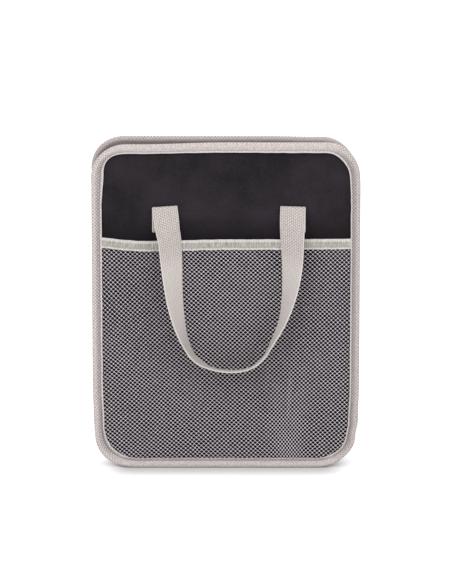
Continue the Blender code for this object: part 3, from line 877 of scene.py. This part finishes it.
def make_hem(side, braid):
    half = pocket_half_width() + 1.5
    count = round(2 * half / HEM_STEP)
    sections, run = [], []
    for station in range(count + 1):
        x = -half + 2 * half * station / count
        top = hem_line(x) + 0.25 * noise.noise(Vector((x / 9, 0.0, 5.0)))
        bottom = top - HEM_HEIGHT + 0.3 * noise.noise(Vector((x / 6, 0.0, 9.0)))
        inner = hem_depth(x, top)
        ribbed = 0.07 * math.sin(2 * math.pi * x / HEM_RIB)
        outer = inner + HEM + ribbed
        depths = hem_section(inner, outer, top, bottom)
        sections.append([(x, -depth, z) for depth, z in depths])
        run.append(x + half)
    across = [top - z for _, z in depths]
    bm = sweep(sections, run, across, closed_ends=True)
    bmesh.ops.recalc_face_normals(bm, faces=bm.faces)
    return finish_piece(f"{side}_mouth_braid", bm, braid, [f"{side}_pocket_hem"], side)


def hem_stitches(side, thread):
    half = pocket_half_width() - 1.0
    places = []
    count = round(2 * half / HEM_STITCH)
    for index in range(count):
        x = -half + 2 * half * (index + 0.5) / count
        top = hem_line(x)
        depth = hem_depth(x, top) + HEM - 0.3
        places.append((Vector((x, -depth, top - HEM_HEIGHT + 2.3)), Vector((0.8, 0.0, 1.0))))
    return make_stitch_row(f"{side}_mouth_stitches", side, places, thread, 1.9, 0.5)


# Handle

def smooth_route(points, steps):
    """A Catmull-Rom curve through the points, all of whose values run smoothly."""
    padded = [points[0]] + list(points) + [points[-1]]
    route = []
    for index in range(1, len(padded) - 2):
        for step in range(steps):
            route.append(blend(padded[index - 1:index + 3], step / steps))
    route.append(tuple(points[-1]))
    return route


def blend(four, t):
    values = []
    for p0, p1, p2, p3 in zip(*four):
        values.append(0.5 * (2 * p1 + (p2 - p0) * t + (2 * p0 - 5 * p1 + 4 * p2 - p3) * t ** 2
                             + (3 * p1 - p0 - 3 * p2 + p3) * t ** 3))
    return tuple(values)


def tab_stations(across):
    """From a sewn end up the cover and over its fold."""
    sewn = COVER_FACE + CLEARANCE + STRAP / 2
    fold_z = TAB_TOP - STRAP / 2 - FOLD_RADIUS
    stations = []
    for part in range(8):
        z = TAB_TOP - TAB_LENGTH + (fold_z - TAB_TOP + TAB_LENGTH) * part / 8
        stations.append(Vector((across, -sewn, z)))
    for part in range(11):
        angle = math.pi * part / 10
        depth = sewn + FOLD_RADIUS * (1 - math.cos(angle))
        stations.append(Vector((across, -depth, fold_z + FOLD_RADIUS * math.sin(angle))))
    return stations


def hanging_stations():
    half = TAB_SPACING / 2
    at_fold = COVER_FACE + CLEARANCE + STRAP / 2 + 2 * FOLD_RADIUS
    centres, turns = [], []
    for across, down, turn in smooth_route(HANDLE_ROUTE, 12):
        height = TAB_TOP - down * HANDLE_DROP
        clear = NET_FACE + pocket_bulge(0.0, height) + HEM + 2 * CLEARANCE + STRAP / 2
        reached = min(down / HANDLE_ROUTE[1][1], 1.0)
        depth = at_fold + (clear - at_fold) * reached + STRAP_WIDTH / 2 * math.sin(math.radians(turn))
        centres.append(Vector((TAB_SHIFT + across * half, -depth, height)))
        turns.append(math.radians(turn))
    return centres, turns


def width_ways(centres, turns):
    ways = []
    for index, turn in enumerate(turns):
        along = way_along(centres, index)
        outside = Vector((along.z, 0.0, -along.x)).normalized()
        ways.append((outside * math.cos(turn) + Vector((0.0, -1.0, 0.0)) * math.sin(turn)).normalized())
    return ways


def strap_profile():
    """The webbing's section: place across the width, and height from its middle."""
    half = STRAP_WIDTH / 2
    top = [(-half + 0.35, 0.55), (-half + 1.0, 0.78)]
    for part in range(1, 12):
        top.append((-half + 1.0 + (STRAP_WIDTH - 2.0) * part / 12, 0.74))
    top += [(half - 1.0, 0.78), (half - 0.35, 0.55), (half, 0.0)]
    bottom = [(-across, -height) for across, height in top]
    return top + bottom


def make_handle(side, webbing):
    half = TAB_SPACING / 2
    left_tab = tab_stations(TAB_SHIFT - half)
    right_tab = tab_stations(TAB_SHIFT + half)
    hanging, turns = hanging_stations()
    centres = left_tab + hanging + right_tab[::-1]
    left_way = [Vector((-1.0, 0.0, 0.0))] * len(left_tab)
    right_way = [Vector((1.0, 0.0, 0.0))] * len(right_tab)
    ways = left_way + width_ways(hanging, turns) + right_way
    profile = strap_profile()
    sections = []
    for index, (centre, way) in enumerate(zip(centres, ways)):
        normal = way.cross(way_along(centres, index)).normalized()
        sections.append([centre + way * across + normal * height for across, height in profile])
    across = [STRAP_WIDTH / 2 + place for place, _ in profile]
    bm = sweep(sections, lengths_along(centres), across, closed_ends=True)
    bmesh.ops.recalc_face_normals(bm, faces=bm.faces)
    tilt_folds(bm)
    return finish_piece(f"{side}_webbing_handle", bm, webbing, [f"{side}_handle"], side)


def tilt_folds(bm):
    """Both ends are folded over slightly askew."""
    for vert in bm.verts:
        side = math.copysign(1.0, vert.co.x - TAB_SHIFT)
        middle = TAB_SHIFT + side * TAB_SPACING / 2
        slope = TAB_TILTS[0] if side < 0 else TAB_TILTS[1]
        vert.co.z += slope * (vert.co.x - middle) * ease(vert.co.z, 240.0, 262.0)


# Side walls and floor

def folded_wall_path(fold_x, front, back, seam, steps=12):
    """A side wall's path in X and Y, for the right side, flaring to the end walls at a seam."""
    radius = (back - front) / 2
    middle = (back + front) / 2
    path = []
    for step in range(steps + 1):
        part = step / steps
        flare = -SEAM_DEPTH + (front + SEAM_DEPTH) * ease(part, 0.0, 1.0) if seam else front
        path.append((PANEL_WIDTH / 2 - STACK_INSET - SEAM_WIDTH * part, flare))
    if not seam:
        path = path[-1:]
    straight = path[-1][0] - fold_x - radius
    for step in range(1, 12):
        path.append((path[-1][0] - straight / 12, front))
    for step in range(steps + 1):
        angle = -math.pi / 2 - math.pi * step / steps
        path.append((fold_x + radius + radius * math.cos(angle), middle + radius * math.sin(angle)))
    for step in range(1, 12):
        path.append((path[-1][0] + straight / 12, back))
    ends = range(steps, -1, -1) if seam else (steps,)
    for step in ends:
        part = step / steps
        flare = SEAM_DEPTH + (back - SEAM_DEPTH) * ease(part, 0.0, 1.0) if seam else back
        path.append((PANEL_WIDTH / 2 - STACK_INSET - SEAM_WIDTH * part, flare))
    return path


def foot_height(x):
    """How high the end walls' rounded foot begins at a distance from the middle."""
    beyond = max(abs(x) - (PANEL_WIDTH / 2 - BOTTOM_CORNER), 0.0)
    radius = BOTTOM_CORNER - BINDING_NOSE
    beyond = min(beyond, radius - 0.5)
    return max(BOTTOM_CORNER - math.sqrt(radius ** 2 - beyond ** 2), SIDE_BOTTOM)


def strip_of_cloth(paths):
    """A sheet that joins one row of points to the next, extruded row by row."""
    bm = bmesh.new()
    row = bm.verts.layers.int.new("place")
    verts = [bm.verts.new(point) for point in paths[0]]
    for index, vert in enumerate(verts):
        vert[row] = index
    edges = [bm.edges.new(pair) for pair in zip(verts, verts[1:])]
    for path in paths[1:]:
        grown = bmesh.ops.extrude_edge_only(bm, edges=edges)["geom"]
        fresh = {item for item in grown if isinstance(item, bmesh.types.BMVert)}
        edges = [item for item in grown if isinstance(item, bmesh.types.BMEdge)]
        edges = [edge for edge in edges if edge.verts[0] in fresh and edge.verts[1] in fresh]
        for vert in fresh:
            vert.co = path[vert[row]]
    return bm


def make_side_cloth(side, sign, layer, seam, polyester):
    inset = CLOTH / 2 if layer == "lining" else SIDE_STACK - CLOTH / 2
    path = folded_wall_path(CREASE_SPACING / 2 + inset, -INSIDE + inset, SIDE_BACK - inset, seam)
    rows = []
    for step in range(31):
        points = []
        for x, y in path:
            low = foot_height(x)
            z = low + (SIDE_TOP - low) * step / 30
            slack = 0.15 * noise.noise(Vector((x / 30, y / 8, z / 30)))
            pulled = -settle("back", -sign * x, z)[0] - sign * x
            points.append((sign * x + pulled * ease(y, -SEAM_DEPTH, SEAM_DEPTH), y + slack, z))
        rows.append(points)
    bm = strip_of_cloth(rows)
    bmesh.ops.recalc_face_normals(bm, faces=bm.faces)
    name = f"{side}_side_{layer}"
    piece = finish_piece(name, bm, polyester, [f"{side}_wall_{layer}"], "front", 0.5)
    width = lengths_along(path)[-1]
    return piece


def make_side_tape(side, sign, tape):
    middle = SIDE_STACK / 2
    path = folded_wall_path(CREASE_SPACING / 2 + middle, -INSIDE + middle, SIDE_BACK - middle, False)
    top, low = SIDE_TOP + CLEARANCE + SIDE_TAPE, SIDE_TOP - SIDE_TAPE_HEIGHT
    outer, inner = middle + CLEARANCE + SIDE_TAPE, middle + CLEARANCE
    profile = (
        (-outer, low), (-outer, top - 1.2), (-outer + 0.35, top - 0.35), (-outer + 1.2, top),
        (outer - 1.2, top), (outer - 0.35, top - 0.35), (outer, top - 1.2), (outer, low),
        (inner, low), (inner, SIDE_TOP + CLEARANCE), (-inner, SIDE_TOP + CLEARANCE), (-inner, low),
    )
    sections = []
    for index, point in enumerate(path):
        along = way_along(path, index).normalized()
        section = []
        for aside, z in profile:
            section.append((sign * (point[0] - along.y * aside), point[1] + along.x * aside, z))
        sections.append(section)
    bm = sweep(sections, lengths_along(path), lengths_along(profile), closed_ends=True)
    bmesh.ops.recalc_face_normals(bm, faces=bm.faces)
    return finish_piece(f"{side}_side_tape", bm, tape, [f"{side}_wall_tape"])


def make_floor_cloth(polyester):
    half = PANEL_WIDTH / 2 - BOTTOM_CORNER
    front = FLOOR_FRONT + CLOTH / 2
    back = INSIDE - CLOTH / 2
    radius = (back - front) / 2
    top = FLOOR_BOTTOM + FLOOR_DEPTH - radius
    path = []
    for step in range(25):
        path.append((front, FLOOR_BOTTOM + (top - FLOOR_BOTTOM) * step / 25))
    for step in range(13):
        angle = math.pi - math.pi * step / 12
        path.append(((front + back) / 2 + radius * math.cos(angle), top + radius * math.sin(angle)))
    for step in range(24, -1, -1):
        path.append((back, FLOOR_BOTTOM + (top - FLOOR_BOTTOM) * step / 25))
    rows = []
    for step in range(21):
        x = -half + 2 * half * step / 20
        rows.append([(x, y + 0.12 * noise.noise(Vector((x / 30, y, z / 30))), z) for y, z in path])
    bm = strip_of_cloth(rows)
    bmesh.ops.recalc_face_normals(bm, faces=bm.faces)
    piece = finish_piece("floor_sleeve", bm, polyester, ["base_fabric"], "front", 0.5)
    width, length = 2 * half, lengths_along(path)[-1]
    return piece


# Stage, light and camera

def make_stage():
    """A white floor with a camera-only painted glow that rises away from the pack's foot, so it keeps the
    close shadow and fades to a white surround.
    """
    bm = bmesh.new()
    bmesh.ops.create_grid(bm, x_segments=2, y_segments=2, size=12.0)
    mesh = bpy.data.meshes.new("stage_floor")
    bm.to_mesh(mesh)
    bm.free()
    material, tree = new_tree("white_floor_with_painted_glow")
    paper = add_node(tree, "BsdfDiffuse", {"Color": (0.8, 0.8, 0.8, 1.0)})
    away = add_node(tree, "TexCoord").outputs["Object"]
    away = add_node(tree, "VectorMath", (away,), operation="ABSOLUTE")
    away = add_node(tree, "VectorMath", (away, FOOTPRINT), operation="SUBTRACT")
    away = add_node(tree, "VectorMath", (away, (0.0, 0.0, 0.0)), operation="MAXIMUM")
    away = add_node(tree, "VectorMath", (away,), operation="LENGTH")
    # Painted light: for camera rays the floor glows more the further it lies from the pack's foot
    lift = add_node(tree, "MapRange", (away, 0.0, SHADOW_REACH * MM, 0.0, 0.5),
                    interpolation_type="SMOOTHSTEP")
    seen = add_node(tree, "LightPath").outputs["Is Camera Ray"]
    lift = add_node(tree, "Math", (seen, lift), operation="MULTIPLY")
    glow = add_node(tree, "Emission", {"Color": (1.0, 1.0, 1.0, 1.0), "Strength": lift})
    both = add_node(tree, "AddShader", (paper, glow))
    add_node(tree, "OutputMaterial", {"Surface": both})
    mesh.materials.append(material)
    floor = bpy.data.objects.new("stage_floor", mesh)
    bpy.context.collection.objects.link(floor)


def make_world():
    world = bpy.data.worlds.new("soft_studio")
    world.use_nodes = True
    tree = world.node_tree
    tree.nodes.clear()
    rays = add_node(tree, "LightPath").outputs
    plain = add_node(tree, "Math", (rays["Is Camera Ray"], rays["Is Glossy Ray"]), operation="MAXIMUM")
    plain = add_node(tree, "Math", (plain, rays["Is Transmission Ray"]), operation="MAXIMUM")
    light = add_node(tree, "Background", {"Color": (1.0, 0.99, 0.98, 1.0), "Strength": 0.62})
    white = add_node(tree, "Background", {"Color": (1.0, 1.0, 1.0, 1.0), "Strength": 1.0})
    mixed = add_node(tree, "MixShader", (plain, light, white))
    add_node(tree, "OutputWorld", {"Surface": mixed})
    bpy.context.scene.world = world


def add_lamp(name, place, size, power):
    lamp = bpy.data.lights.new(name, "AREA")
    lamp.shape = "DISK"
    lamp.size = size
    lamp.energy = power
    holder = bpy.data.objects.new(name, lamp)
    holder.location = place
    holder.rotation_euler = (Vector((0, 0, 0.17)) - Vector(place)).to_track_quat("-Z", "Y").to_euler()
    bpy.context.collection.objects.link(holder)


def make_camera():
    """The photograph's view: square to the front wall, 15.5 degrees from above, from far off."""
    elevation = math.radians(15.5)
    distance = 4.68
    aim = Vector((0.0001, -0.015, 0.1813))
    data = bpy.data.cameras.new("photo_view")
    data.lens = 292.4
    data.sensor_width = 36.0
    camera = bpy.data.objects.new("photo_view", data)
    way = Vector((0.0, -math.cos(elevation), math.sin(elevation)))
    camera.location = aim + way * distance
    camera.rotation_euler = (-way).to_track_quat("-Z", "Y").to_euler()
    bpy.context.collection.objects.link(camera)
    bpy.context.scene.camera = camera


# Making

make_stage()
make_world()
for lamp_name, (place, size, power) in LAMPS.items():
    add_lamp(lamp_name, place, size, power)
make_camera()
bpy.context.scene.view_settings.view_transform = "Standard"

polyester = make_black_polyester()
tape = make_binding_tape()
braid = make_hem_tape()
yarn = make_net_yarn()
webbing = make_webbing()
thread = make_thread()
board = make_board()

for node_name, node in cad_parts.items():
    if "board" in node_name:
        node.material_slots[0].material = board

for side in ("front", "back"):
    make_wall_cloth(side, "cover", COVER_DEPTH, polyester)
    make_wall_cloth(side, "lining", LINING_DEPTH, polyester)
    make_wall_board(side, board)
    make_binding(side, tape)
    binding_stitches(side, thread)
    make_net(side, yarn)
    make_hem(side, braid)
    hem_stitches(side, thread)
    make_handle(side, webbing)

for side, sign in (("left", -1), ("right", 1)):
    make_side_cloth(side, sign, "cover", True, polyester)
    make_side_cloth(side, sign, "lining", False, polyester)
    make_side_tape(side, sign, tape)
make_floor_cloth(polyester)
